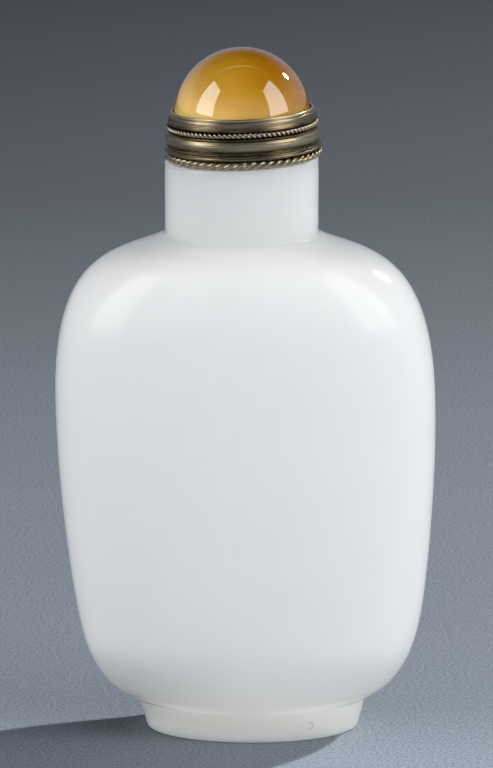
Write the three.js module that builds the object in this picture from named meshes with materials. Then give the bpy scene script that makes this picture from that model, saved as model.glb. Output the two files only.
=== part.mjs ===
// A snuff bottle: a flattened jade bottle with a round neck and an oval foot, and its stopper, which is
// a turned brass collar with two wires round it, an agate dome on top and a cork below.
//
// Millimetres, +Z up. The broad faces look along -Y and +Y, and the origin is under the middle of the
// bottle, on the plane that the foot stands on. The bottle is worked by hand: its body leans a little
// towards -X, and its lip and the stopper on it rise a little towards +X.

import * as THREE from "three";

// Driving dimensions of the bottle.
const BODY = { halfWidth: 19.2, halfDepth: 11.1, widestAt: 33.8, fullness: 2.3 };
const NECK = { radius: 7.7, base: 50.85, top: 58.62, edge: 0.25, bore: 3.6 };
const FOOT = { halfWidth: 10.38, halfDepth: 7.2, height: 3.4, rim: 1.95, recess: 0.8, shift: 0.27 };
const WALL = { side: 3.1, face: 2.8, base: 4.4 };
const LEAN = 0.021; // how far the body moves towards -X for each millimetre of height, above the haunches
const HAUNCHES = 12; // height below which the body is plumb
const SLANT = THREE.MathUtils.degToRad(2.0); // of the lip and the stopper

// Driving dimensions of the stopper, with heights above the underside of its collar.
const COLLAR = { lipRadius: 7.15, cupRadius: 6.95, cupFloor: 4.0, height: 4.97 };
const LOWER_WIRE = { outerRadius: 7.9, thickness: 0.78, height: 0.44 };
const UPPER_WIRE = { outerRadius: 7.62, thickness: 0.58, height: 3.37 };
const GEM = { radius: 6.82, centre: 4.23, flatRadius: 6.5 };
const CORK = { topRadius: 3.3, bottomRadius: 3.05, length: 6 };
const OFF_CENTRE = 0.2; // how far the stopper stands from the middle of the neck, towards +X
const SEAM = 0.1; // the glue line or running fit between two pieces

const BOTTLE_SEGMENTS = 52;
const TURNED_SEGMENTS = 40;
const WIRE_SIDES = 6;

const JADE = new THREE.MeshStandardMaterial({ color: 0xe2e5e4, roughness: 0.28, metalness: 0 });
const BRASS = new THREE.MeshStandardMaterial({ color: 0x93804f, roughness: 0.4, metalness: 1 });
const AGATE = new THREE.MeshStandardMaterial({ color: 0xcb8f38, roughness: 0.08, metalness: 0 });
const CORK_BARK = new THREE.MeshStandardMaterial({ color: 0xb58a5f, roughness: 0.9, metalness: 0 });

// One ring of the bottle: how far it reaches to the sides and to the faces, and its height.
const ring = (halfWidth, halfDepth, height) => new THREE.Vector3(halfWidth, halfDepth, height);

// A stretch of the bottle's profile: rings along a Bezier curve, without the one that it starts on.
function sweep(steps, start, startPull, endPull, end) {
  return new THREE.CubicBezierCurve3(start, startPull, endPull, end).getPoints(steps).slice(1);
}

// The middle of the bottle at a height: the body leans between its haunches and its plumb neck, and the
// foot stands a little towards +X.
function middleAt(height) {
  const lean = LEAN * (BODY.widestAt - THREE.MathUtils.clamp(height, HAUNCHES, NECK.base));
  const aboveFoot = THREE.MathUtils.smoothstep(height, FOOT.height / 2, FOOT.height * 1.2);
  return lean + FOOT.shift * (1 - aboveFoot);
}

// How square the bottle's section is at a height: 2 is an ellipse, as at the neck, and the foot is a
// little fuller.
function fullnessAt(height) {
  const aboveFoot = THREE.MathUtils.smoothstep(height, FOOT.height, 9);
  const belowNeck = 1 - THREE.MathUtils.smoothstep(height, 42, NECK.base);
  return 2 + (BODY.fullness - 2) * THREE.MathUtils.lerp(0.2, 1, aboveFoot) * belowNeck;
}

// The outside, from the middle of the underside up to the lip.
function outsideRings() {
  const { halfWidth: w, halfDepth: d, widestAt } = BODY;
  const { halfWidth: footW, halfDepth: footD, height: footTop, rim, recess } = FOOT;
  const waist = ring(footW + 1.34, footD + 0.85, footTop);
  const haunch = ring(w - 2.28, d - 1.32, 9.6);
  const widest = ring(w, d, widestAt);
  const shoulder = ring(NECK.radius + 0.5, NECK.radius + 0.4, NECK.base);
  return [
    ring(0, 0, recess),
    ring(footW - rim - 0.6, footD - rim - 0.5, recess),
    ring(footW - rim - 0.1, footD - rim - 0.1, recess * 0.6),
    ring(footW - rim, footD - rim, 0),
    ring(footW, footD, 0),
    ring(footW + 0.28, footD + 0.25, 0.08),
    ring(footW + 0.45, footD + 0.38, 0.4),
    ring(footW + 0.6, footD + 0.5, 1.05),
    ring(footW + 0.75, footD + 0.6, 1.6),
    ring(footW + 0.97, footD + 0.72, 2.3),
    waist,
    ...sweep(8, waist, ring(13.5, 8.4, 2.55), ring(w - 3.18, d - 1.84, 6.35), haunch),
    ...sweep(6, haunch, ring(w - 1.17, d - 0.68, 13.6), ring(w, d, 24.8), widest),
    ...sweep(11, widest, ring(w, d, 50.15), ring(NECK.radius + 4.2, 9.05, 48.9), shoulder),
    ring(NECK.radius + 0.25, NECK.radius + 0.23, NECK.base + 0.1),
    ring(NECK.radius + 0.06, NECK.radius + 0.06, NECK.base + 0.3),
    ring(NECK.radius, NECK.radius, NECK.base + 0.55),
    ring(NECK.radius, NECK.radius, NECK.top - NECK.edge),
    ring(NECK.radius - 0.08, NECK.radius - 0.08, NECK.top - NECK.edge / 3),
    ring(NECK.radius - NECK.edge, NECK.radius - NECK.edge, NECK.top),
  ];
}

// The inside, from the lip down the bore to the middle of the floor.
function insideRings() {
  const { bore, edge, top } = NECK;
  const w = BODY.halfWidth - WALL.side;
  const d = BODY.halfDepth - WALL.face;
  const floor = FOOT.recess + WALL.base;
  const throat = ring(bore, bore, 48.9);
  const widest = ring(w, d, BODY.widestAt);
  const heel = ring(w - 1.5, d - 0.8, 12);
  const floorEdge = ring(7.5, 3.7, floor);
  return [
    ring(bore + edge, bore + edge, top),
    ring(bore, bore, top - edge),
    throat,
    ...sweep(6, throat, ring(bore + 2.6, bore + 2, 46.9), ring(w, d, 49.2), widest),
    ...sweep(3, widest, ring(w, d, 26), ring(w - 0.8, d - 0.4, 17), heel),
    ...sweep(4, heel, ring(w - 2.2, d - 1.3, 8.2), ring(11.5, 5.8, floor + 0.2), floorEdge),
    ring(0, 0, floor),
  ];
}

// The bottle is turned as a round vessel whose radii are the half-widths, and then each of its rings is
// flattened.
function bottleGeometry() {
  const rings = [...outsideRings(), ...insideRings()];
  const turned = rings.map((r) => new THREE.Vector2(r.x, r.z));
  const geometry = new THREE.LatheGeometry(turned, BOTTLE_SEGMENTS);
  const position = geometry.attributes.position;
  const swell = (cosine, fullness) => Math.sign(cosine) * Math.abs(cosine) ** (2 / fullness);
  for (let i = 0; i < position.count; i++) {
    const { x: halfWidth, y: halfDepth, z: height } = rings[i % rings.length];
    const turn = (2 * Math.PI * Math.floor(i / rings.length)) / BOTTLE_SEGMENTS;
    const fullness = fullnessAt(height);
    const x = halfWidth * swell(Math.sin(turn), fullness);
    const y = -halfDepth * swell(Math.cos(turn), fullness);
    const lift = height > NECK.top - NECK.edge - SEAM ? x * Math.tan(SLANT) : 0;
    position.setXYZ(i, x + middleAt(height), y, height + lift);
  }
  geometry.deleteAttribute("normal");
  geometry.computeVertexNormals();
  return geometry;
}

// A solid turned about +Z from points of radius and height.
function turnedGeometry(profile, segments) {
  const points = profile.map(([radius, height]) => new THREE.Vector2(radius, height));
  return new THREE.LatheGeometry(points, segments).rotateX(Math.PI / 2);
}

// The wall of the seat that a wire lies in.
const seatRadius = (wire) => wire.outerRadius - wire.thickness - SEAM / 2;

// The collar from below: seat of the lower wire, a double bead, a groove, a broad convex band, a groove,
// seat of the upper wire, a hollow band that narrows upwards, and the lip round the cup for the dome.
function collarGeometry() {
  const { lipRadius, cupRadius, cupFloor, height } = COLLAR;
  const lowerSeat = seatRadius(LOWER_WIRE);
  const upperSeat = seatRadius(UPPER_WIRE);
  return turnedGeometry(
    [
      [0, 0],
      [lowerSeat, 0],
      [lowerSeat, 0.88],
      [7.74, 0.93],
      [7.84, 1.08],
      [7.78, 1.2],
      [7.84, 1.32],
      [7.6, 1.44],
      [7.58, 1.74],
      [7.68, 1.84],
      [7.77, 2.3],
      [7.68, 2.76],
      [7.44, 2.86],
      [7.44, 3.0],
      [upperSeat, 3.04],
      [upperSeat, 3.7],
      [7.5, 3.76],
      [7.38, 4.2],
      [7.3, 4.64],
      [lipRadius - 0.04, 4.7],
      [lipRadius, 4.78],
      [lipRadius, height - 0.07],
      [lipRadius - 0.06, height],
      [cupRadius, height],
      [cupRadius, cupFloor],
      [0, cupFloor],
    ],
    TURNED_SEGMENTS,
  );
}

function wireGeometry({ outerRadius, thickness }) {
  const ringRadius = outerRadius - thickness / 2;
  return new THREE.TorusGeometry(ringRadius, thickness / 2, WIRE_SIDES, TURNED_SEGMENTS);
}

// The dome is a little less than half a ball above the cup's lip, flat below.
function gemGeometry() {
  const { radius, centre, flatRadius } = GEM;
  const flat = COLLAR.cupFloor + SEAM;
  const start = Math.asin((flat + 0.25 - centre) / radius);
  const arcSteps = 9;
  const arc = Array.from({ length: arcSteps + 1 }, (_, i) => {
    const rise = THREE.MathUtils.lerp(start, Math.PI / 2, i / arcSteps);
    return [radius * Math.cos(rise), centre + radius * Math.sin(rise)];
  });
  arc.at(-1)[0] = 0;
  return turnedGeometry([[0, flat], [flatRadius, flat], ...arc], TURNED_SEGMENTS);
}

function corkGeometry() {
  const { topRadius, bottomRadius, length } = CORK;
  return turnedGeometry(
    [
      [0, -length - SEAM],
      [bottomRadius - 0.3, -length - SEAM],
      [bottomRadius, -length - SEAM + 0.3],
      [topRadius, -SEAM],
      [0, -SEAM],
    ],
    TURNED_SEGMENTS / 2,
  );
}

function namedMesh(name, geometry, material, height = 0) {
  const mesh = new THREE.Mesh(geometry, material);
  mesh.name = name;
  mesh.position.z = height;
  return mesh;
}

// The stopper stands on the slanted lip, square to it.
function makeStopper() {
  const rise = NECK.top + SEAM + OFF_CENTRE * Math.tan(SLANT);
  const stopper = new THREE.Group();
  stopper.add(
    namedMesh("stopper_collar", collarGeometry(), BRASS),
    namedMesh("lower_wire", wireGeometry(LOWER_WIRE), BRASS, LOWER_WIRE.height),
    namedMesh("upper_wire", wireGeometry(UPPER_WIRE), BRASS, UPPER_WIRE.height),
    namedMesh("stopper_gem", gemGeometry(), AGATE),
    namedMesh("stopper_cork", corkGeometry(), CORK_BARK),
  );
  stopper.rotation.y = -SLANT;
  stopper.position.set(middleAt(NECK.top) + OFF_CENTRE, 0, rise);
  return stopper;
}

const snuffBottle = new THREE.Group();
snuffBottle.add(namedMesh("bottle", bottleGeometry(), JADE), makeStopper());

export default snuffBottle;
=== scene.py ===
"""A flattened white jade snuff bottle with a brass and agate stopper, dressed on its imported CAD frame.

Lengths in the classes are millimetres, as a maker would note them, and every mesh is in metres in the frame
of the CAD model: +Z up through the neck, the broad faces along -Y and +Y.
"""

import logging
import math
from dataclasses import dataclass, field
from enum import Enum
from typing import Sequence

import bmesh
import bpy
from mathutils import Matrix, Vector, noise
from mathutils.geometry import interpolate_bezier


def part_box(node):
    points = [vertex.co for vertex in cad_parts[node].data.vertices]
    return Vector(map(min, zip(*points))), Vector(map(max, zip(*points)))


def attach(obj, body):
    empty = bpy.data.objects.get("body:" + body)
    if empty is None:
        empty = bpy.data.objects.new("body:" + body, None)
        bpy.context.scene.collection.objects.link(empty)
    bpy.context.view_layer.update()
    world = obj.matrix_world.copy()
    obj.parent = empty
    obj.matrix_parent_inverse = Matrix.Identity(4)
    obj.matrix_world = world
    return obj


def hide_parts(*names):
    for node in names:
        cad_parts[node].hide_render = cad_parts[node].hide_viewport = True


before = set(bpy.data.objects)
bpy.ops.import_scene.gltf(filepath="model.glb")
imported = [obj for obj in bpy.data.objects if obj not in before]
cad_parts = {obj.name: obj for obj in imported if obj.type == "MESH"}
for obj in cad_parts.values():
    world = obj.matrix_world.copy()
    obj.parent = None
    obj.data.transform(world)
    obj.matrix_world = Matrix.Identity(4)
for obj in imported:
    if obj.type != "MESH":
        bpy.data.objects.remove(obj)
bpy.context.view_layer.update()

log = logging.getLogger("snuff_bottle")

MM = 0.001
BODY = "root"
SLANT = math.radians(2.0)  # the lip and the stopper on it rise towards +X


# ---------------------------------------------------------------- shared tools


def linear(colour: str) -> tuple[float, float, float, float]:
    """Turns an sRGB hex colour into linear light.

    Args:
        colour: The colour as "#RRGGBB".

    Returns:
        Red, green, blue and a full alpha.
    """
    parts = [int(colour[i : i + 2], 16) / 255 for i in (1, 3, 5)]
    red, green, blue = (p / 12.92 if p <= 0.04045 else ((p + 0.055) / 1.055) ** 2.4 for p in parts)
    return red, green, blue, 1.0


def add_node(
    tree: bpy.types.NodeTree,
    kind: str,
    sockets: dict | None = None,
    stops: Sequence[tuple[float, str]] = (),
    **settings: object,
) -> bpy.types.Node:
    """Adds one node with its settings, its values and its links.

    Args:
        tree: The node tree that gets the node.
        kind: The node's type.
        sockets: What goes into each input: a value, a hex colour, or the output socket to link from.
        stops: Positions and hex colours of a colour ramp, from low to high.
        settings: The node's own properties.

    Returns:
        The new node.
    """
    node = tree.nodes.new(kind)
    for name, value in settings.items():
        setattr(node, name, value)
    for name, value in (sockets or {}).items():
        if isinstance(value, bpy.types.NodeSocket):
            tree.links.new(value, node.inputs[name])
        else:
            node.inputs[name].default_value = linear(value) if isinstance(value, str) else value
    for index, (position, colour) in enumerate(stops):
        elements = node.color_ramp.elements
        element = elements[index] if index < 2 else elements.new(position)
        element.position = position
        element.color = linear(colour)
    return node


def calculated(
    tree: bpy.types.NodeTree, operation: str, *values: bpy.types.NodeSocket | float
) -> bpy.types.NodeSocket:
    """Calculates with sockets and numbers, in one Math node.

    Args:
        tree: The material's nodes.
        operation: What the node does.
        values: What it works on, in the order of its inputs.

    Returns:
        The result.
    """
    return add_node(tree, "ShaderNodeMath", dict(enumerate(values)), operation=operation).outputs[0]


def grained(
    tree: bpy.types.NodeTree, place: bpy.types.NodeSocket, scale: float, detail: float, roughness: float = 0.5
) -> bpy.types.NodeSocket:
    """Gives a cloudy grain.

    Args:
        tree: The material's nodes.
        place: Where to read it.
        scale: How many tufts stand side by side in one unit of the place.
        detail: How many finer layers it has.
        roughness: How strong the finer layers are.

    Returns:
        The grain, mostly from 0.2 to 0.8.
    """
    sockets = {"Vector": place, "Scale": scale, "Detail": detail, "Roughness": roughness}
    return add_node(tree, "ShaderNodeTexNoise", sockets).outputs[0]


def ramped(
    tree: bpy.types.NodeTree, share: bpy.types.NodeSocket, stops: Sequence[tuple[float, str]]
) -> bpy.types.NodeSocket:
    """Turns a share into a colour.

    Args:
        tree: The material's nodes.
        share: The share, from 0 to 1.
        stops: Shares and hex colours, from low to high.

    Returns:
        The colour.
    """
    return add_node(tree, "ShaderNodeValToRGB", {"Fac": share}, stops=stops).outputs[0]


def graded(
    tree: bpy.types.NodeTree,
    value: bpy.types.NodeSocket,
    ends: tuple[float, float],
    stops: Sequence[tuple[float, str]],
    unit: float = MM,
) -> bpy.types.NodeSocket:
    """Turns a measured value into a colour, with the stops given as measures too.

    Args:
        tree: The material's nodes.
        value: What is measured.
        ends: The lowest and the highest measure.
        stops: Measures and hex colours, from low to high.
        unit: What a measure of 1 is in the value's own units.

    Returns:
        The colour.
    """
    low, high = ends
    sockets = {"Value": value, "From Min": low * unit, "From Max": high * unit}
    share = add_node(tree, "ShaderNodeMapRange", sockets).outputs[0]
    return ramped(tree, share, [((measure - low) / (high - low), colour) for measure, colour in stops])


def mixed(
    tree: bpy.types.NodeTree,
    share: bpy.types.NodeSocket | float,
    under: bpy.types.NodeSocket,
    over: bpy.types.NodeSocket | str,
    blend: str = "MIX",
) -> bpy.types.NodeSocket:
    """Lays one colour over another.

    Args:
        tree: The material's nodes.
        share: How strongly the upper colour covers, from 0 to 1.
        under: The lower colour.
        over: The upper colour.
        blend: How the two blend.

    Returns:
        The blended colour.
    """
    sockets = {0: share, 6: under, 7: over}
    return add_node(tree, "ShaderNodeMix", sockets, data_type="RGBA", blend_type=blend).outputs[2]


def smooth(value: float, start: float, end: float) -> float:
    """Rises smoothly from 0 at start to 1 at end.

    Args:
        value: Where to read the rise.
        start: Where it starts.
        end: Where it ends.

    Returns:
        The rise, from 0 to 1.
    """
    share = min(max((value - start) / (end - start), 0), 1)
    return share * share * (3 - 2 * share)


def curve_through(points: Sequence[Sequence[float]], steps: int) -> list[Vector]:
    """Draws a smooth curve through points, for a hand-rounded stretch of a profile.

    Args:
        points: The points that the curve passes through, in order.
        steps: How many pieces each stretch between two points is cut into.

    Returns:
        The points of the curve, with both ends.
    """
    knots = [Vector(point) for point in points]
    ends = [knots[0] * 2 - knots[1], *knots, knots[-1] * 2 - knots[-2]]
    drawn = [knots[0]]
    for before, start, end, after in zip(ends, ends[1:], ends[2:], ends[3:]):
        pull = (end - start).length / 3
        start_handle = start + (end - before).normalized() * pull
        end_handle = end - (after - start).normalized() * pull
        drawn += interpolate_bezier(start, start_handle, end_handle, end, steps + 1)[1:]
    return drawn


def spun(profile: Sequence[Sequence[float]], segments: int) -> bmesh.types.BMesh:
    """Turns a profile about +Z into a closed body, as a lathe does.

    Args:
        profile: Radius and height of each point in millimetres, from axis to axis, and after them any number
            that the points carry along, which goes into a vertex layer named "carried".
        segments: How many steps the full turn has.

    Returns:
        The turned body, closed and facing outwards.
    """
    mesh = bmesh.new()
    carried = mesh.verts.layers.float.new("carried")
    points = []
    for radius, height, *extra in profile:
        point = mesh.verts.new((radius * MM, 0, height * MM))
        point[carried] = extra[0] if extra else 0
        points.append(point)
    edges = [mesh.edges.new(pair) for pair in zip(points, points[1:])]
    bmesh.ops.spin(
        mesh,
        geom=points + edges,
        cent=(0, 0, 0),
        axis=(0, 0, 1),
        angle=2 * math.pi,
        steps=segments,
        use_merge=True,
    )
    close(mesh)
    return mesh


def close(mesh: bmesh.types.BMesh) -> None:
    """Merges the poles and seams of a shell and turns its faces outwards.

    Args:
        mesh: The shell, which is changed in place.
    """
    bmesh.ops.remove_doubles(mesh, verts=mesh.verts, dist=1e-7)
    bmesh.ops.recalc_face_normals(mesh, faces=mesh.faces)


def break_edges(mesh: bmesh.types.BMesh, width: float, sharper_than: float = 24) -> None:
    """Rounds the crisp edges of a turned body, as handling does.

    Args:
        mesh: The body, which is changed in place.
        width: How far the rounding reaches from each edge, in millimetres.
        sharper_than: The least turn between two faces, in degrees, that counts as an edge.
    """
    crisp = [e for e in mesh.edges if e.calc_face_angle(0) > math.radians(sharper_than)]
    bmesh.ops.bevel(
        mesh,
        geom=crisp,
        offset=width * MM,
        offset_type="OFFSET",
        affect="EDGES",
        segments=3,
        profile=0.5,
        material=-1,
        clamp_overlap=True,
    )


def stand_in_place(mesh: bmesh.types.BMesh, node: str) -> None:
    """Moves a stopper part, made upright at the origin, to where its CAD node stands on the slanted lip.

    Args:
        mesh: The part, which is changed in place.
        node: The CAD node whose place it takes.
    """
    bmesh.ops.rotate(mesh, verts=mesh.verts, cent=(0, 0, 0), matrix=Matrix.Rotation(-SLANT, 3, "Y"))
    low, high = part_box(node)
    middles = [
        (min(v.co[axis] for v in mesh.verts) + max(v.co[axis] for v in mesh.verts)) / 2 for axis in range(3)
    ]
    bmesh.ops.translate(mesh, verts=mesh.verts, vec=(low + high) / 2 - Vector(middles))


def make_piece(mesh: bmesh.types.BMesh, name: str, node: str, finish: "Finish") -> bpy.types.Object:
    """Makes a shaped mesh a piece of the object: smooth, dressed, and riding in its CAD node's place.

    Args:
        mesh: The finished shape, which is freed.
        name: The piece's name.
        node: The CAD node that the piece stands for.
        finish: What the piece is finished in.

    Returns:
        The piece.
    """
    data = bpy.data.meshes.new(name)
    mesh.to_mesh(data)
    mesh.free()
    for polygon in data.polygons:
        polygon.use_smooth = True
    piece = bpy.data.objects.new(name, data)
    bpy.context.scene.collection.objects.link(piece)
    data.materials.append(finish.make())
    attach(piece, BODY)
    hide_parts(node)
    return piece


# ---------------------------------------------------------------- finishes


@dataclass(frozen=True)
class Finish:
    """What every finish has: its maker's name and the name of a slot, which nothing here reads."""

    name: str = ""
    slot: str = ""

    def start(self) -> tuple[bpy.types.Material, bpy.types.NodeTree, bpy.types.Node, bpy.types.NodeSocket]:
        """Starts the material with a Principled surface and the piece's own coordinates.

        Returns:
            The material, its nodes, its Principled shader and the socket with object coordinates.
        """
        material = bpy.data.materials.new(self.name)
        material.use_nodes = True
        tree = material.node_tree
        tree.nodes.clear()
        shader = add_node(tree, "ShaderNodeBsdfPrincipled")
        add_node(tree, "ShaderNodeOutputMaterial", {"Surface": shader.outputs[0]})
        place = add_node(tree, "ShaderNodeTexCoord").outputs["Object"]
        return material, tree, shader, place

    def make(self) -> bpy.types.Material:
        """Makes the material. Each finish has its own."""
        raise NotImplementedError


@dataclass(frozen=True)
class PolishedNephrite(Finish):
    """White nephrite jade, ground to shape by hand and polished with wax.

    Its felted fibres scatter light a few millimetres deep, so that edges glow and shadows are soft, and the
    polish is a soft, slightly greasy gloss instead of a mirror.
    """

    name: str = "polished white nephrite"
    slot: str = "jade"
    pale: str = "#EBEAE8"
    cloud: str = "#E8E7E4"
    # painted shade: darkens the foot, with a slightly warm tone
    foot_warmth_and_painted_shade: str = "#EDEBE5"
    # painted shade: darkens the neck over its bore
    neck_painted_shade: str = "#EDEEEE"
    cloud_size: float = 9
    fissure: str = "#8F8A82"
    speck: str = "#B9B5AC"
    specks: tuple[tuple[float, float, float, float], ...] = (
        (-15.5, -7.2, 26.2, 0.16),
        (11.2, -9.5, 26.2, 0.13),
        (-8.1, -7.1, 3.6, 0.2),
    )  # x, y and z of each dark speck, and its radius
    speck_strength: float = 0.8
    hook: tuple[float, float] = (6.5, 1.6)  # where the hooked fissure in the foot curls, in x and z
    hook_radius: float = 0.34
    hook_half_width: float = 0.07
    hook_gap: float = -0.12  # the ring is open further left than this from its middle
    hook_strength: float = 0.35

    def make(self) -> bpy.types.Material:
        """Makes the material.

        Returns:
            The material, with clouding, painted shade on the foot and the neck, specks and the fissure in the
            foot.
        """
        material, tree, shader, place = self.start()
        # Broad clouds, no stronger than the faintest difference in the stone.
        clouds = grained(tree, place, 1 / (self.cloud_size * MM), 5, 0.62)
        stone = ramped(tree, clouds, ((0.2, self.cloud), (0.8, self.pale)))
        # Painted shade: the foot is darkened, with a slightly warm tone, where it stands shaded at the bottom,
        # and the neck is painted a little greyer over its dark bore.
        height = add_node(tree, "ShaderNodeSeparateXYZ", {0: place}).outputs["Z"]
        painted_shade_by_height = ((1.8, self.foot_warmth_and_painted_shade), (9, "#FFFFFF"), (48, "#FFFFFF"), (52.2, self.neck_painted_shade))
        colour = mixed(tree, 1.0, stone, graded(tree, height, (0, 60), painted_shade_by_height), "MULTIPLY")
        for *middle, radius in self.specks:
            ends = {0: place, 1: Vector(middle) * MM}
            away = add_node(tree, "ShaderNodeVectorMath", ends, operation="DISTANCE").outputs["Value"]
            fade = {"Value": away, "From Min": radius * MM, "From Max": 0, "To Max": self.speck_strength}
            colour = mixed(tree, add_node(tree, "ShaderNodeMapRange", fade).outputs[0], colour, self.speck)
        colour = mixed(tree, self.curl(tree, place), colour, self.fissure)
        shader.inputs["Roughness"].default_value = 0.15
        shader.inputs["IOR"].default_value = 1.61
        shader.inputs["Specular IOR Level"].default_value = 0.3
        shader.inputs["Subsurface Weight"].default_value = 1.0
        shader.inputs["Subsurface Radius"].default_value = (1.0, 0.97, 0.95)
        shader.inputs["Subsurface Scale"].default_value = 5 * MM
        tree.links.new(colour, shader.inputs["Base Color"])
        return material

    def curl(self, tree: bpy.types.NodeTree, place: bpy.types.NodeSocket) -> bpy.types.NodeSocket:
        """Draws the hooked fissure in the front of the foot: part of a ring, open to the left.

        Args:
            tree: The material's nodes.
            place: The piece's coordinates.

        Returns:
            A mask that is highest along the fissure.
        """
        centred = add_node(
            tree,
            "ShaderNodeMapping",
            {"Vector": place, "Location": (self.hook[0] * MM, 0, self.hook[1] * MM), "Scale": (MM, MM, MM)},
            vector_type="TEXTURE",
        )
        axes = add_node(tree, "ShaderNodeSeparateXYZ", {0: centred.outputs[0]})
        flat = add_node(tree, "ShaderNodeCombineXYZ", {"X": axes.outputs["X"], "Y": axes.outputs["Z"]})
        radius = add_node(tree, "ShaderNodeVectorMath", {0: flat.outputs[0]}, operation="LENGTH")
        on_ring = calculated(tree, "COMPARE", radius.outputs["Value"], self.hook_radius, self.hook_half_width)
        closed = calculated(tree, "GREATER_THAN", axes.outputs["X"], self.hook_gap)
        in_front = calculated(tree, "LESS_THAN", axes.outputs["Y"], 0)
        hook = calculated(tree, "MULTIPLY", calculated(tree, "MULTIPLY", on_ring, closed), in_front)
        return calculated(tree, "MULTIPLY", hook, self.hook_strength)


class Working(Enum):
    """How a piece of brass was made, which is what its surface shows."""

    TURNED = "turned"
    DRAWN = "drawn"


@dataclass(frozen=True)
class AgedBrass(Finish):
    """Brass that has darkened for decades and is rubbed bright only where fingers reach it.

    Hollows hold brown tarnish, high places are rubbed to a pale yellow-grey, and turned faces keep the fine
    rings that the tool left.
    """

    name: str = "aged brass"
    slot: str = "brass"
    working: Working = Working.TURNED
    rubbed: str = "#E8D6B6"
    aged: str = "#B29E7C"
    tarnish: str = "#473A28"
    hollow_radius: float = 6.9  # where drawn wire is darkest, from the stopper's axis
    high_radius: float = 7.85  # where it is rubbed brightest
    bands: tuple[tuple[float, str], ...] = (
        (0.9, "#A8A8A8"),
        (1.1, "#9C9C9C"),
        (1.32, "#8C8C8C"),
        (1.6, "#606060"),
        (1.85, "#A8A8A8"),
        (2.3, "#E0E0E0"),
        (2.7, "#B4B4B4"),
        (3.0, "#202020"),
        (3.75, "#787878"),
        (4.2, "#A2A2A2"),
        (4.66, "#BCBCBC"),
        (4.78, "#FFFFFF"),
    )  # height on the turned collar, and how far it is rubbed bright there
    mottling: float = 1.3  # how much the tarnish varies along the metal
    node: str = "stopper_collar"

    def make(self) -> bpy.types.Material:
        """Makes the material.

        Returns:
            The material, with tarnish by how deep the surface lies and rings where the brass was turned.
        """
        material, tree, shader, place = self.start()
        low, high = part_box(self.node)
        upright = add_node(
            tree,
            "ShaderNodeMapping",
            {"Vector": place, "Location": (low + high) / 2, "Rotation": (0, -SLANT, 0)},
            vector_type="TEXTURE",
        ).outputs[0]
        # Streaks of tarnish 0.3 mm high and some 4 mm long, as turning and rubbing leave them.
        stretched = add_node(
            tree, "ShaderNodeMapping", {"Vector": upright, "Scale": (0.25 / MM, 0.25 / MM, 3.3 / MM)}
        )
        rubbing = grained(tree, stretched.outputs[0], 1, 6, 0.75)
        uneven = calculated(tree, "MULTIPLY_ADD", rubbing, self.mottling, -self.mottling / 2)
        turned = self.working is Working.TURNED
        even = self.by_height(tree, upright) if turned else self.by_radius(tree, upright)
        wear = calculated(tree, "ADD", even, uneven)
        colour = ramped(tree, wear, ((0.1, self.tarnish), (0.5, self.aged), (0.95, self.rubbed)))
        tree.links.new(colour, shader.inputs["Base Color"])
        shader.inputs["Metallic"].default_value = 1.0
        shader.inputs["Roughness"].default_value = 0.33
        if turned:
            # Rings about 0.12 mm apart: finer ones would not show.
            rings = add_node(
                tree, "ShaderNodeMapping", {"Vector": upright, "Scale": (0.06 / MM, 0.06 / MM, 8 / MM)}
            )
            lines = grained(tree, rings.outputs[0], 1, 2)
            bump = add_node(tree, "ShaderNodeBump", {"Height": lines, "Strength": 1, "Distance": 0.05 * MM})
            tree.links.new(bump.outputs[0], shader.inputs["Normal"])
        return material

    def by_height(self, tree: bpy.types.NodeTree, upright: bpy.types.NodeSocket) -> bpy.types.NodeSocket:
        """Gives how bright the turned bands are rubbed, from the underside up to the lip.

        Args:
            tree: The material's nodes.
            upright: Coordinates about the middle of the piece, along the stopper's axis.

        Returns:
            The rubbing, from 0 to 1.
        """
        low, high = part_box(self.node)
        slanted = (high.x - low.x) * math.sin(SLANT)
        height = (high.z - low.z - slanted) / MM
        half = height / 2
        along = add_node(tree, "ShaderNodeSeparateXYZ", {0: upright}).outputs["Z"]
        return graded(tree, along, (-half, half), [(above - half, grey) for above, grey in self.bands])

    def by_radius(self, tree: bpy.types.NodeTree, upright: bpy.types.NodeSocket) -> bpy.types.NodeSocket:
        """Gives how bright a drawn wire is rubbed, from the hollows between its strands outwards.

        Args:
            tree: The material's nodes.
            upright: Coordinates about the middle of the piece, along the stopper's axis.

        Returns:
            The rubbing, from 0 to 1.
        """
        across = add_node(tree, "ShaderNodeVectorMath", {0: upright, 1: (1, 1, 0)}, operation="MULTIPLY")
        radius = add_node(tree, "ShaderNodeVectorMath", {0: across.outputs[0]}, operation="LENGTH")
        low, high = self.hollow_radius * MM, self.high_radius * MM
        reach = {"Value": radius.outputs["Value"], "From Min": low, "From Max": high}
        return add_node(tree, "ShaderNodeMapRange", reach).outputs[0]


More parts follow.
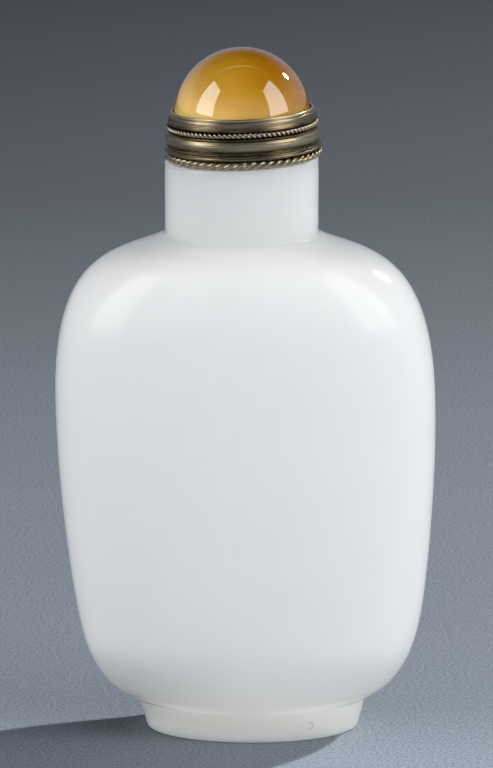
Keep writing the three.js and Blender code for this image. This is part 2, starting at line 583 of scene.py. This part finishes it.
@dataclass(frozen=True)
class HoneyAgate(Finish):
    """Honey-coloured agate, cut as a dome and polished to a glassy surface.

    Light sinks into it and comes out yellow where the stone is thin or lit from behind, and deep amber where
    it is thick, with faint curved growth layers. Its colour is painted from straw at the lower left to amber at
    the crown and the right: the straw is partly the stone's own paler layer and partly a painted glow of the
    light that the lamp behind the right shoulder focuses through the dome. A pale arc is painted where the
    dome's back base rim shows through the stone.
    """

    name: str = "honey agate"
    slot: str = "agate"
    # painted glow: the straw stands partly for light focused through the dome from the lamp behind the right
    straw_and_painted_glow: str = "#FFCB6E"
    honey: str = "#D2A240"
    amber: str = "#BC8A1E"
    deep: str = "#A66C0C"
    # painted see-through image: the pale arc where the dome's back base rim shows through the stone
    rim_arc: str = "#EDD08A"
    radius: float = 6.82
    # painted glow: the straw lies at the lower left end of this direction, away from the lamp behind the right
    layers_and_glow_face: tuple[float, float, float] = (0.45, 0.1, 0.75)  # across the growth layers
    layers_sway: float = 0.5
    # The painted pale arc where the dome's back base rim shows through the stone, in shares of the dome's
    # radius: the plane it lies in, square to the camera's line of sight, and where it fades out sideways.
    rim_arc_faces: tuple[float, float, float] = (0, -0.976, 0.216)
    rim_arc_distance: float = 0.733
    rim_arc_half_width: float = 0.008
    rim_arc_middle: float = -0.08
    rim_arc_fades: tuple[float, float] = (0.05, 0.42)
    rim_arc_bottom: float = 0.62
    rim_arc_strength: float = 0.4

    def make(self) -> bpy.types.Material:
        """Makes the material.

        Returns:
            The material, layered from straw at the lower left to amber at the crown and the right.
        """
        material, tree, shader, place = self.start()
        low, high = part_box("stopper_gem")
        middle = Vector(((low.x + high.x) / 2, (low.y + high.y) / 2, high.z - self.radius * MM))
        dome = add_node(
            tree,
            "ShaderNodeMapping",
            {"Vector": place, "Location": middle, "Scale": (self.radius * MM,) * 3},
            vector_type="TEXTURE",
        ).outputs[0]
        sway = grained(tree, dome, 1.6, 4, 0.55)
        along = add_node(
            tree, "ShaderNodeVectorMath", {0: dome, 1: self.layers_and_glow_face}, operation="DOT_PRODUCT"
        )
        layer = calculated(tree, "MULTIPLY_ADD", sway, self.layers_sway, along.outputs["Value"])
        # Painted glow: the straw end of these layers, at the lower left, is partly light focused through the
        # dome.
        layers = ((-0.118, self.straw_and_painted_glow), (0.288, self.honey), (0.665, self.amber), (0.984, self.deep))
        colour = graded(tree, layer, (-0.35, 1.1), layers, unit=1)
        with_rim_arc = mixed(tree, self.painted_rim_arc(tree, dome), colour, self.rim_arc)
        tree.links.new(with_rim_arc, shader.inputs["Base Color"])
        shader.inputs["Roughness"].default_value = 0.05
        shader.inputs["Coat Weight"].default_value = 1.0
        shader.inputs["Coat IOR"].default_value = 1.54
        shader.inputs["IOR"].default_value = 1.54
        shader.inputs["Specular IOR Level"].default_value = 1.0
        shader.inputs["Subsurface Weight"].default_value = 0.7
        shader.inputs["Subsurface Radius"].default_value = (1.0, 0.6, 0.25)
        shader.inputs["Subsurface Scale"].default_value = 2.5 * MM
        return material

    def painted_rim_arc(self, tree: bpy.types.NodeTree, dome: bpy.types.NodeSocket) -> bpy.types.NodeSocket:
        """Draws the one painted pale arc, a hair's breadth wide, that runs round the front of the dome where
        its back base rim shows through the stone.

        Args:
            tree: The material's nodes.
            dome: Coordinates about the dome's centre, in shares of its radius.

        Returns:
            A mask that is highest at the seam's middle and fades out sideways.
        """
        # Painted see-through image of the back rim, on a plane square to the camera's line of sight.
        ahead = add_node(tree, "ShaderNodeVectorMath", {0: dome, 1: self.rim_arc_faces}, operation="DOT_PRODUCT")
        on_rim_arc = calculated(tree, "COMPARE", ahead.outputs["Value"], self.rim_arc_distance, self.rim_arc_half_width)
        axes = add_node(tree, "ShaderNodeSeparateXYZ", {0: dome})
        sideways = calculated(
            tree, "ABSOLUTE", calculated(tree, "SUBTRACT", axes.outputs["X"], self.rim_arc_middle)
        )
        start, end = self.rim_arc_fades
        fade = {"Value": sideways, "From Min": start, "From Max": end}
        fade |= {"To Min": self.rim_arc_strength, "To Max": 0}
        fading = add_node(tree, "ShaderNodeMapRange", fade).outputs[0]
        upper = calculated(tree, "GREATER_THAN", axes.outputs["Z"], self.rim_arc_bottom)
        return calculated(tree, "MULTIPLY", calculated(tree, "MULTIPLY", on_rim_arc, fading), upper)


@dataclass(frozen=True)
class CutCork(Finish):
    """Bark cork cut to a tapered plug: a dull tan with darker pores."""

    name: str = "cut cork"
    slot: str = "cork"
    bark: str = "#B98E63"
    pores: str = "#6E4B2E"
    grain_size: float = 0.8

    def make(self) -> bpy.types.Material:
        """Makes the material.

        Returns:
            The material, with its pores.
        """
        material, tree, shader, place = self.start()
        grain = grained(tree, place, 1 / (self.grain_size * MM), 8, 0.7)
        colour = ramped(tree, grain, ((0.36, self.pores), (0.5, self.bark)))
        bump = add_node(tree, "ShaderNodeBump", {"Height": grain, "Strength": 0.6, "Distance": 0.1 * MM})
        tree.links.new(colour, shader.inputs["Base Color"])
        tree.links.new(bump.outputs[0], shader.inputs["Normal"])
        shader.inputs["Roughness"].default_value = 0.85
        return material


@dataclass(frozen=True)
class StudioPaper(Finish):
    """Matte pale grey paper with the fine tooth of its fibres, with painted shade that darkens it towards its
    far edge where the lamps' light falls off, and a little lighter just in front of the bottle.
    """

    name: str = "studio paper with painted falloff"
    sheet: str = "#A9B4BF"
    tooth: str = "#848F9C"
    # painted shade: how far the paper is darkened towards the back, standing for the lamps' light falling off,
    # and lighter just in front of the bottle
    painted_falloff: tuple[tuple[float, str], ...] = (
        (-14, "#FFFFFF"),
        (6, "#E3E3E3"),
        (97, "#D3D3D3"),
        (152, "#C1C1C1"),
        (208, "#A9A9A9"),
        (290, "#8A8A8A"),
        (400, "#7C7C7C"),
    )  # millimetres behind the bottle, and how much of the sheet's brightness is left there
    far: float = 486  # where the graded stretch ends
    fibre: float = 0.32  # coarser than real paper fibres, so that they show

    def make(self) -> bpy.types.Material:
        """Makes the material.

        Returns:
            The material, with its fibres, darker towards the back.
        """
        material, tree, shader, place = self.start()
        fibres = grained(tree, place, 1 / (self.fibre * MM), 4, 0.75)
        colour = ramped(tree, fibres, ((0.43, self.tooth), (0.57, self.sheet)))
        backwards = add_node(tree, "ShaderNodeSeparateXYZ", {0: place}).outputs["Y"]
        # Painted shade: the paper darkens towards the back, where the lamps' light falls off.
        falloff_shade = graded(tree, backwards, (self.painted_falloff[0][0], self.far), self.painted_falloff)
        tree.links.new(mixed(tree, 1.0, colour, falloff_shade, "MULTIPLY"), shader.inputs["Base Color"])
        shader.inputs["Roughness"].default_value = 0.9
        return material


# ---------------------------------------------------------------- the bottle


@dataclass
class Bottle:
    """The hollow bottle, carved in one: oval foot, flattened body, round neck and slanted lip.

    Each ring of it is a half-width, a height and a half-depth. The body leans a little towards -X above its
    haunches, and the foot stands a little towards +X.
    """

    half_width: float = 19.18
    half_depth: float = 11.1
    widest_at: float = 33.8
    fullness: float = 2.3
    neck_radius: float = 7.7
    neck_base: float = 50.85
    neck_top: float = 58.62
    neck_edge: float = 0.25
    bore: float = 3.6
    foot_half_width: float = 10.38
    foot_half_depth: float = 7.2
    foot_height: float = 3.4
    foot_flare: tuple[tuple[float, float, float], ...] = (
        (0, 0, 0),
        (0.28, 0.22, 0.08),
        (0.45, 0.31, 0.4),
        (0.6, 0.43, 1.05),
        (0.75, 0.53, 1.6),
        (0.97, 0.67, 2.3),
    )  # how much wider and deeper than its underside the foot is, and at what height
    waist_height: float = 3.28
    foot_rim: float = 1.95
    foot_recess: float = 0.8
    foot_shift: float = 0.27
    foot_squareness: float = 0.2  # how much of the body's squareness the foot has
    run_out: float = 0.32  # how much less full the section is where the faces run out into the foot
    widened_by: float = 0.47  # how far above the waist the body has most of its width
    run_out_ends: tuple[float, float] = (4.5, 10)  # between which heights the section fills out again
    full_from: float = 9  # between these heights the section is as full as it gets
    full_to: float = 42
    unground: float = 1  # how much of the neck under its lip is left true
    side_wall: float = 3.1
    face_wall: float = 2.8
    base_wall: float = 4.4
    lean: float = 0.021
    haunches: float = 12
    waver: float = 0.05  # how far the hand-ground faces waver inwards
    waver_length: float = 8
    segments: int = 176
    finish: PolishedNephrite = field(default_factory=PolishedNephrite)

    def sweep(self, steps: int, *pulls: tuple[float, float, float]) -> list[Vector]:
        """Cuts a Bezier stretch of the profile into rings.

        Args:
            steps: How many rings the stretch has after its first.
            pulls: The start, its pull, the end's pull and the end, each half-width, half-depth and height.

        Returns:
            The rings, without the one that the stretch starts on.
        """
        return interpolate_bezier(*(Vector(p) for p in pulls), steps + 1)[1:]

    def outside(self) -> list[Vector]:
        """Draws the outside, from the middle of the underside up to the lip.

        Returns:
            The rings: half-width, half-depth and height.
        """
        w, d = self.half_width, self.half_depth
        foot_w, foot_d = self.foot_half_width, self.foot_half_depth
        rim, recess, r = self.foot_rim, self.foot_recess, self.neck_radius
        base, top, edge = self.neck_base, self.neck_top, self.neck_edge
        waist = (foot_w + 1.34, foot_d + 0.85, self.waist_height)
        haunch = (w - 2.28, d - 1.52, 9.6)
        widest = (w, d, self.widest_at)
        shoulder = (r + 0.5, r + 0.4, base)
        underside = [
            Vector((0, 0, recess)),
            Vector((foot_w - rim - 1.2, foot_d - rim - 1.1, recess)),
            *curve_through(
                [
                    (foot_w - rim - 0.6, foot_d - rim - 0.5, recess),
                    (foot_w - rim - 0.1, foot_d - rim - 0.1, recess * 0.6),
                    (foot_w - rim, foot_d - rim, 0.06),
                    (foot_w - rim + 0.08, foot_d - rim + 0.08, 0),
                ],
                3,
            ),
            Vector((foot_w - 0.1, foot_d - 0.1, 0)),
        ]
        flare = [(foot_w + wider, foot_d + deeper, height) for wider, deeper, height in self.foot_flare]
        foot = curve_through([*flare, waist], 4)
        body = [
            *self.sweep(26, waist, (13.9, foot_d + 0.85, self.waist_height), (w - 3.18, d - 2.42, 6.1), haunch),
            *self.sweep(22, haunch, (w - 1.17, d - 0.8, 13.6), (w, d, 24.8), widest),
            *self.sweep(46, widest, (w, d, 50.15), (r + 4.2, 9.05, 48.9), shoulder),
        ]
        neck = curve_through(
            [
                shoulder,
                (r + 0.25, r + 0.23, base + 0.1),
                (r + 0.06, r + 0.06, base + 0.3),
                (r, r, base + 0.55),
            ],
            4,
        )[1:]
        lip = curve_through(
            [
                (r, r, top - 1.5),
                (r - 0.02, r - 0.02, top - 0.8),
                (r - 0.03, r - 0.03, top - edge),
                (r - 0.08, r - 0.08, top - edge / 3),
                (r - edge, r - edge, top),
            ],
            3,
        )
        return [*underside, *foot, *body, *neck, *lip]

    def inside(self) -> list[Vector]:
        """Draws the inside, from the lip down the bore to the middle of the floor.

        Returns:
            The rings: half-width, half-depth and height.
        """
        bore, top, edge = self.bore, self.neck_top, self.neck_edge
        w, d = self.half_width - self.side_wall, self.half_depth - self.face_wall
        floor = self.foot_recess + self.base_wall
        throat = (bore, bore, 48.9)
        widest = (w, d, self.widest_at)
        heel = (w - 1.5, d - 0.8, 12)
        return [
            Vector((bore + edge, bore + edge, top)),
            Vector((bore, bore, top - edge)),
            Vector(throat),
            *self.sweep(16, throat, (bore + 2.6, bore + 2, 46.9), (w, d, 49.2), widest),
            *self.sweep(8, widest, (w, d, 26), (w - 0.8, d - 0.4, 17), heel),
            *self.sweep(10, heel, (w - 2.2, d - 1.3, 8.2), (11.5, 5.8, floor + 0.2), (7.5, 3.7, floor)),
            Vector((0, 0, floor)),
        ]

    def middle_at(self, height: float) -> float:
        """Gives the x of the bottle's middle at a height.

        Args:
            height: The height in millimetres.

        Returns:
            The middle's x in millimetres.
        """
        leaning = self.lean * (self.widest_at - min(max(height, self.haunches), self.neck_base))
        return leaning + self.foot_shift * (1 - smooth(height, self.foot_height / 2, self.foot_height * 1.2))

    def fullness_at(self, height: float) -> float:
        """Gives how square the section is at a height: 2 is an ellipse.

        Args:
            height: The height in millimetres.

        Returns:
            The power of the section's curve.
        """
        rising = smooth(height, self.foot_height, self.full_from)
        above_foot = self.foot_squareness + (1 - self.foot_squareness) * rising
        below_neck = 1 - smooth(height, self.full_to, self.neck_base)
        # Just above the foot the faces keep the foot's own curve, so that only the foot's ends stand out.
        widening = min(1, math.sqrt(max(0, height - self.waist_height) / self.widened_by))
        running_out = widening * (1 - smooth(height, *self.run_out_ends))
        return 2 + (self.fullness - 2) * above_foot * below_neck - self.run_out * running_out

    def flatten(self, mesh: bmesh.types.BMesh) -> None:
        """Flattens each ring of the round vessel to its own depth and section, and slants the lip.

        Args:
            mesh: The round vessel, which is changed in place.
        """
        carried = mesh.verts.layers.float["carried"]
        for vertex in mesh.verts:
            x, y, height = vertex.co / MM
            half_width = math.hypot(x, y)
            if half_width < 1e-6:
                vertex.co.x = self.middle_at(height) * MM
                continue
            power = 2 / self.fullness_at(height)
            across, deep = x / half_width, y / half_width
            x = half_width * math.copysign(abs(across) ** power, across)
            y = vertex[carried] * math.copysign(abs(deep) ** power, deep)
            at_lip = height > self.neck_top - self.neck_edge - 0.1
            lift = x * math.tan(SLANT) if at_lip else 0
            vertex.co = Vector((x + self.middle_at(height), y, height + lift)) * MM

    def grind(self, mesh: bmesh.types.BMesh) -> None:
        """Lets the outside waver a few hundredths of a millimetre inwards, as hand grinding leaves it.

        Args:
            mesh: The flattened vessel, which is changed in place.
        """
        top = self.neck_top - self.unground
        mesh.normal_update()
        for vertex in mesh.verts:
            x, y, height = vertex.co / MM
            outwards = vertex.normal.x * x + vertex.normal.y * y > 0
            if not outwards or not self.foot_height < height < top:
                continue
            ends = smooth(height, self.foot_height, self.full_from) * (1 - smooth(height, self.neck_base, top))
            depth = (noise.noise(Vector((x, y, height)) / self.waver_length) + 1) / 2
            vertex.co -= vertex.normal * self.waver * ends * depth * MM

    def build(self) -> bpy.types.Object:
        """Turns the vessel round, flattens it, grinds it and dresses it.

        Returns:
            The bottle.
        """
        sections = self.outside() + self.inside()
        rings = [(half_width, height, half_depth) for half_width, half_depth, height in sections]
        mesh = spun(rings, self.segments)
        self.flatten(mesh)
        bmesh.ops.recalc_face_normals(mesh, faces=mesh.faces)
        self.grind(mesh)
        return make_piece(mesh, "jade_bottle", "bottle", self.finish)


# ---------------------------------------------------------------- the stopper


@dataclass
class Collar:
    """The turned brass collar: from below, the lower wire's seat, a double bead, a broad band, the upper
    wire's seat, a hollow band and the lip round the cup for the dome. Heights are above its underside."""

    lower_seat: float = 7.07
    upper_seat: float = 6.99
    lip_radius: float = 7.15
    cup_radius: float = 6.95
    cup_floor: float = 4.0
    height: float = 4.97
    rounding: float = 0.03
    segments: int = 192
    finish: AgedBrass = field(default_factory=AgedBrass)

    def profile(self) -> list[tuple[float, float]]:
        """Draws the collar's profile.

        Returns:
            Radius and height of each point, from the middle of the underside to the middle of the cup.
        """
        lip, top = self.lip_radius, self.height
        return [
            (0, 0),
            (self.lower_seat, 0),
            (self.lower_seat, 0.88),
            (7.74, 0.93),
            (7.81, 0.98),
            (7.84, 1.06),
            (7.82, 1.14),
            (7.77, 1.2),
            (7.82, 1.25),
            (7.84, 1.32),
            (7.79, 1.39),
            (7.6, 1.44),
            (7.58, 1.74),
            (7.68, 1.84),
            (7.73, 2.0),
            (7.76, 2.15),
            (7.77, 2.3),
            (7.76, 2.45),
            (7.73, 2.6),
            (7.68, 2.76),
            (7.44, 2.86),
            (7.44, 3.0),
            (self.upper_seat, 3.04),
            (self.upper_seat, 3.7),
            (7.5, 3.76),
            (7.44, 3.9),
            (7.39, 4.1),
            (7.35, 4.35),
            (7.33, 4.55),
            (7.3, 4.66),
            (lip - 0.04, 4.7),
            (lip, 4.78),
            (lip, top - 0.07),
            (lip - 0.06, top),
            (self.cup_radius, top),
            (self.cup_radius, self.cup_floor),
            (0, self.cup_floor),
        ]

    def build(self) -> bpy.types.Object:
        """Turns the collar, breaks its edges and dresses it.

        Returns:
            The collar.
        """
        mesh = spun(self.profile(), self.segments)
        break_edges(mesh, self.rounding)
        stand_in_place(mesh, "stopper_collar")
        return make_piece(mesh, "turned_collar", "stopper_collar", self.finish)


class Lay(Enum):
    """Which way the strands of a twisted wire run, seen from outside."""

    RISING_RIGHT = 1
    RISING_LEFT = -1


@dataclass
class TwistedWire:
    """Two thin wires twisted together and soldered round the collar as a ring."""

    name: str
    node: str
    outer_radius: float
    thickness: float
    turns: int
    lay: Lay
    finish: AgedBrass
    strand: float = 0.27  # a strand's radius as a share of the rope's thickness
    sides: int = 10
    steps_per_turn: int = 14

    def build(self) -> bpy.types.Object:
        """Twists two strands along a straight rope, bends it into a ring and dresses it.

        Returns:
            The ring.
        """
        ring_radius = self.outer_radius - self.thickness / 2
        length = 2 * math.pi * ring_radius
        strand = self.thickness * self.strand
        offset = self.thickness / 2 - strand
        steep = math.atan(2 * math.pi * offset * self.turns / length)
        steps = self.turns * self.steps_per_turn
        mesh = bmesh.new()
        for side in (-1, 1):
            bmesh.ops.create_circle(
                mesh,
                cap_ends=False,
                radius=strand * MM,
                segments=self.sides,
                matrix=Matrix.Translation((0, side * offset * MM, 0))
                @ Matrix.Scale(1 / math.cos(steep), 4, (0, 0, 1))
                @ Matrix.Rotation(math.pi / 2, 4, "Y"),
            )
        bmesh.ops.spin(
            mesh,
            geom=mesh.verts[:] + mesh.edges[:],
            cent=(0, 0, 0),
            axis=(1, 0, 0),
            dvec=(length / steps * MM, 0, 0),
            angle=2 * math.pi * self.turns * self.lay.value,
            steps=steps,
            use_merge=False,
        )
        for vertex in mesh.verts:
            along, out, up = vertex.co
            turn = along / (ring_radius * MM)
            reach = ring_radius * MM + out
            vertex.co = (reach * math.cos(turn), reach * math.sin(turn), up)
        bmesh.ops.remove_doubles(mesh, verts=mesh.verts, dist=0.001 * MM)
        bmesh.ops.recalc_face_normals(mesh, faces=mesh.faces)
        stand_in_place(mesh, self.node)
        return make_piece(mesh, self.name, self.node, self.finish)


@dataclass
class AgateDome:
    """The polished agate dome that sits in the collar's cup."""

    radius: float = 6.815
    centre: float = 4.23
    flat: float = 4.1
    flat_radius: float = 6.5
    chamfer: float = 0.25
    steps: int = 56
    segments: int = 176
    finish: HoneyAgate = field(default_factory=HoneyAgate)

    def build(self) -> bpy.types.Object:
        """Turns the dome and dresses it.

        Returns:
            The dome.
        """
        start = math.asin((self.flat + self.chamfer - self.centre) / self.radius)
        rises = [start + (math.pi / 2 - start) * step / self.steps for step in range(self.steps)]
        arc = [(self.radius * math.cos(a), self.centre + self.radius * math.sin(a)) for a in rises]
        profile = [(0, self.flat), (self.flat_radius, self.flat), *arc, (0, self.centre + self.radius)]
        mesh = spun(profile, self.segments)
        stand_in_place(mesh, "stopper_gem")
        return make_piece(mesh, "agate_dome", "stopper_gem", self.finish)


@dataclass
class CorkPlug:
    """The tapered cork under the collar, which holds the stopper in the mouth."""

    top_radius: float = 3.3
    bottom_radius: float = 3.05
    length: float = 6
    gap: float = 0.1
    chamfer: float = 0.3
    rounding: float = 0.08
    segments: int = 96
    finish: CutCork = field(default_factory=CutCork)

    def build(self) -> bpy.types.Object:
        """Turns the plug, breaks its edges and dresses it.

        Returns:
            The plug.
        """
        bottom = -self.length - self.gap
        mesh = spun(
            [
                (0, bottom),
                (self.bottom_radius - self.chamfer, bottom),
                (self.bottom_radius, bottom + self.chamfer),
                (self.top_radius, -self.gap),
                (0, -self.gap),
            ],
            self.segments,
        )
        break_edges(mesh, self.rounding)
        stand_in_place(mesh, "stopper_cork")
        return make_piece(mesh, "cork_plug", "stopper_cork", self.finish)


# ---------------------------------------------------------------- the studio


class Reach(Enum):
    """What a lamp may light, as a flag beside it would decide, with the state that the paper has for it."""

    ALL = ""
    PAPER_ONLY = "INCLUDE"
    NOT_PAPER = "EXCLUDE"


@dataclass(frozen=True)
class Softbox:
    """One softbox or bounce wall: its middle, the point that it faces, its width and height, and its watts."""

    name: str
    middle: tuple[float, float, float]
    towards: tuple[float, float, float]
    width: float
    height: float
    power: float
    reach: Reach = Reach.NOT_PAPER
    mirrored: bool = False  # whether polished faces show it


@dataclass(frozen=True)
class BackLamp:
    """One small lamp behind the right shoulder, with its watts and its cone in degrees."""

    name: str
    power: float
    cone: float
    size: float
    towards: tuple[float, float, float]
    reach: Reach
    middle: tuple[float, float, float] = (666, 539, 575)


@dataclass
class Studio:
    """The floor, the lights and the camera. Lengths are millimetres."""

    floor_radius: float = 2600
    distance: float = 600
    elevation: float = 12.5
    lens: float = 279.0
    target: tuple[float, float, float] = (0, 0, 34.57)
    aim: tuple[float, float, float] = (0.12, 0, 35.47)
    horizon: str = "#828D9B"
    dusk: tuple[float, float] = (0.25, 0.75)  # how high up the room's glow starts to fade, and where it ends
    softboxes: tuple[Softbox, ...] = (
        Softbox("left_softbox", (-400, -180, 330), (0, -180, 330), 290, 480, 1.1, mirrored=True),
        Softbox("right_softbox", (400, -196, 350), (0, -196, 350), 320, 500, 1.12, Reach.ALL, True),
        Softbox("front_wall", (0, -1500, 350), (0, 0, 350), 3000, 900, 11.8),
        Softbox("left_wall", (-1500, -700, 350), (0, 0, 350), 1600, 900, 11),
        Softbox("right_wall", (1500, -700, 350), (0, 0, 350), 1600, 900, 16),
        Softbox("back_wall", (0, 1500, 350), (0, 0, 350), 3000, 900, 5),
        Softbox("ceiling", (0, -60, 900), (0, -60, 0), 700, 700, 0.9, Reach.ALL),
    )
    back_lamps: tuple[BackLamp, ...] = (
        BackLamp("floor_lamp", 43, 90, 50, (40, -20, 0), Reach.PAPER_ONLY),
        BackLamp("rim_lamp", 6, 28, 120, (0, 0, 40), Reach.NOT_PAPER),
    )

    def lay_floor(self) -> bpy.types.Object:
        """Lays a plain round floor under the foot.

        Returns:
            The floor.
        """
        mesh = bmesh.new()
        bmesh.ops.create_circle(mesh, cap_ends=True, radius=self.floor_radius * MM, segments=96)
        data = bpy.data.meshes.new("studio_floor")
        mesh.to_mesh(data)
        mesh.free()
        floor = bpy.data.objects.new("studio_floor", data)
        bpy.context.scene.collection.objects.link(floor)
        data.materials.append(StudioPaper().make())
        return floor

    def hang_lamp(
        self,
        light: bpy.types.Light,
        middle: Sequence[float],
        towards: Sequence[float],
        reach: Reach,
        floor: bpy.types.Object,
    ) -> bpy.types.Object:
        """Hangs a lamp, turns it and flags it off what it may not light.

        Args:
            light: The lamp's data, whose name it takes.
            middle: Where it hangs, in millimetres.
            towards: The point that it faces, in millimetres.
            reach: What it may light.
            floor: The paper floor.

        Returns:
            The lamp.
        """
        lamp = bpy.data.objects.new(light.name, light)
        lamp.location = Vector(middle) * MM
        lamp.rotation_euler = (Vector(towards) - Vector(middle)).to_track_quat("-Z", "Y").to_euler()
        bpy.context.scene.collection.objects.link(lamp)
        if reach is not Reach.ALL:
            flag = bpy.data.collections.new(f"{light.name} flag")
            flag.objects.link(floor)
            flag.collection_objects[0].light_linking.link_state = reach.value
            lamp.light_linking.receiver_collection = flag
        return lamp

    def light(self, floor: bpy.types.Object) -> None:
        """Sets the pale surroundings, the softboxes and walls, and the small lamps behind the right shoulder.

        Args:
            floor: The paper floor.
        """
        world = bpy.data.worlds.new("studio room")
        world.use_nodes = True
        tree = world.node_tree
        upward = add_node(
            tree, "ShaderNodeSeparateXYZ", {0: add_node(tree, "ShaderNodeTexCoord").outputs["Generated"]}
        ).outputs["Z"]
        glow = add_node(
            tree,
            "ShaderNodeMapRange",
            {"Value": upward, "From Min": self.dusk[0], "From Max": self.dusk[1], "To Min": 1, "To Max": 0},
            interpolation_type="SMOOTHSTEP",
        )
        room = tree.nodes["Background"]
        room.inputs["Color"].default_value = linear(self.horizon)
        tree.links.new(glow.outputs[0], room.inputs["Strength"])
        bpy.context.scene.world = world
        for box in self.softboxes:
            light = bpy.data.lights.new(box.name, "AREA")
            light.shape = "RECTANGLE"
            light.size = box.width * MM
            light.size_y = box.height * MM
            light.energy = box.power
            lamp = self.hang_lamp(light, box.middle, box.towards, box.reach, floor)
            lamp.visible_glossy = box.mirrored
        for small in self.back_lamps:
            spot = bpy.data.lights.new(small.name, "SPOT")
            spot.energy = small.power
            spot.shadow_soft_size = small.size / 2 * MM
            spot.spot_size = math.radians(small.cone)
            spot.spot_blend = 1.0
            self.hang_lamp(spot, small.middle, small.towards, small.reach, floor)

    def set_camera(self) -> None:
        """Puts the camera in front of the broad face, a little above it."""
        tilt = math.radians(self.elevation)
        place = Vector(self.target) + Vector((0, -math.cos(tilt), math.sin(tilt))) * self.distance
        camera = bpy.data.objects.new("camera", bpy.data.cameras.new("camera"))
        camera.data.lens = self.lens
        camera.location = place * MM
        camera.rotation_euler = (Vector(self.aim) - place).to_track_quat("-Z", "Y").to_euler()
        bpy.context.scene.collection.objects.link(camera)
        bpy.context.scene.camera = camera

    def build(self) -> None:
        """Sets up the whole studio, with colours shown as they are."""
        bpy.context.scene.view_settings.view_transform = "Standard"
        self.light(self.lay_floor())
        self.set_camera()


# ---------------------------------------------------------------- the order of work


def main() -> None:
    """Builds the bottle, its stopper and the studio, and reports each piece."""
    logging.basicConfig(level=logging.INFO, format="%(message)s")
    upper_brass = AgedBrass(
        name="twisted upper wire brass",
        working=Working.DRAWN,
        hollow_radius=7.3,
        high_radius=7.6,
        node="upper_wire",
    )
    lower_brass = AgedBrass(
        name="twisted lower wire brass",
        working=Working.DRAWN,
        rubbed="#C9B795",
        hollow_radius=7.4,
        high_radius=7.95,
        node="lower_wire",
    )
    builders = [
        Bottle(),
        Collar(),
        TwistedWire("upper_twisted_wire", "upper_wire", 7.62, 0.58, 44, Lay.RISING_LEFT, upper_brass),
        TwistedWire("lower_twisted_wire", "lower_wire", 7.9, 0.78, 25, Lay.RISING_RIGHT, lower_brass, 0.33),
        AgateDome(),
        CorkPlug(),
    ]
    for builder in builders:
        piece = builder.build()
        log.info("%s: %d faces", piece.name, len(piece.data.polygons))
    Studio().build()


if __name__ == "__main__":
    main()
